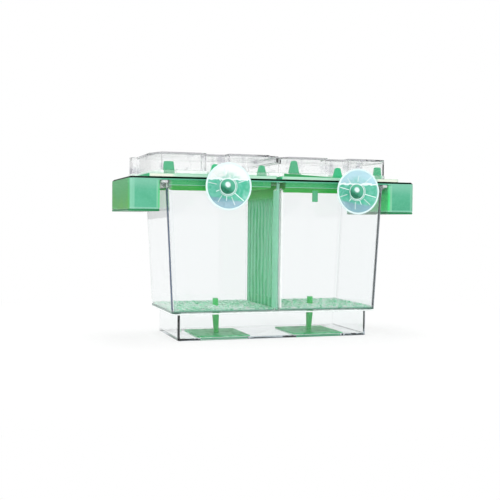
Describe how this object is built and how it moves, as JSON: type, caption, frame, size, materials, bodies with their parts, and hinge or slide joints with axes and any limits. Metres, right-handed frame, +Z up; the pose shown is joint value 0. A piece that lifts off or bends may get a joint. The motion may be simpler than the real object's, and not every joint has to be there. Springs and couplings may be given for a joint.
{
  "type": "fish breeding box",
  "caption": "Floating fish breeding box with a clear divided tank over a sump, a green float frame, clear lids, lift-out slotted floors, sump gates and suction cups.",
  "frame": {"origin": "middle of the tank's flat underside, which is also where the box rests when it stands on a table", "axes": "+X runs along the box towards the right-hand float, +Y away from the suction cups, +Z up"},
  "size_m": [0.21, 0.0846, 0.1277],
  "materials": {
    "clear_body": "polished clear moulding",
    "clear_lid": "polished clear moulding",
    "float_green": "translucent glossy moulding",
    "frame_green": "translucent glossy moulding",
    "divider_green": "translucent glossy moulding",
    "floor_mint": "translucent satin moulding",
    "cup_clear": "soft clear vinyl"
  },
  "bodies": {
    "tank": {"tank": "clear_body"},
    "frame": {"float_frame": "frame_green", "left_float_cover": "float_green", "right_float_cover": "float_green"},
    "left_inner_frame": {"left_inner_frame": "frame_green"},
    "right_inner_frame": {"right_inner_frame": "frame_green"},
    "left_lid": {"left_lid": "clear_lid"},
    "right_lid": {"right_lid": "clear_lid"},
    "divider": {"divider": "divider_green"},
    "left_gate": {"left_gate": "divider_green", "left_gate_stem": "frame_green"},
    "right_gate": {"right_gate": "divider_green", "right_gate_stem": "frame_green"},
    "left_floor": {"left_floor": "floor_mint"},
    "right_floor": {"right_floor": "floor_mint"},
    "left_cup": {"left_suction_cup": "cup_clear"},
    "right_cup": {"right_suction_cup": "cup_clear"}
  },
  "joints": [
    {"name": "frame_lift", "type": "slide", "parent": "tank", "child": "frame", "axis": [0, 0, 1], "range_m": [0, 0.03]},
    {"name": "left_inner_frame_lift", "type": "slide", "parent": "frame", "child": "left_inner_frame", "axis": [0, 0, 1], "range_m": [0, 0.03]},
    {"name": "left_lid_lift", "type": "slide", "parent": "left_inner_frame", "child": "left_lid", "axis": [0, 0, 1], "range_m": [0, 0.05]},
    {"name": "right_inner_frame_lift", "type": "slide", "parent": "frame", "child": "right_inner_frame", "axis": [0, 0, 1], "range_m": [0, 0.03]},
    {"name": "right_lid_lift", "type": "slide", "parent": "right_inner_frame", "child": "right_lid", "axis": [0, 0, 1], "range_m": [0, 0.05]},
    {"name": "divider_lift", "type": "slide", "parent": "tank", "child": "divider", "axis": [0, 0, 1], "range_m": [0, 0.012]},
    {"name": "left_gate_lift", "type": "slide", "parent": "tank", "child": "left_gate", "axis": [0, 0, 1], "range_m": [0, 0.03]},
    {"name": "left_floor_lift", "type": "slide", "parent": "left_gate", "child": "left_floor", "axis": [0, 0, 1], "range_m": [0, 0.04]},
    {"name": "left_cup_pull", "type": "slide", "parent": "frame", "child": "left_cup", "axis": [0, -1, 0], "range_m": [0, 0.01]},
    {"name": "right_gate_lift", "type": "slide", "parent": "tank", "child": "right_gate", "axis": [0, 0, 1], "range_m": [0, 0.03]},
    {"name": "right_floor_lift", "type": "slide", "parent": "right_gate", "child": "right_floor", "axis": [0, 0, 1], "range_m": [0, 0.04]},
    {"name": "right_cup_pull", "type": "slide", "parent": "frame", "child": "right_cup", "axis": [0, -1, 0], "range_m": [0, 0.01]}
  ]
}
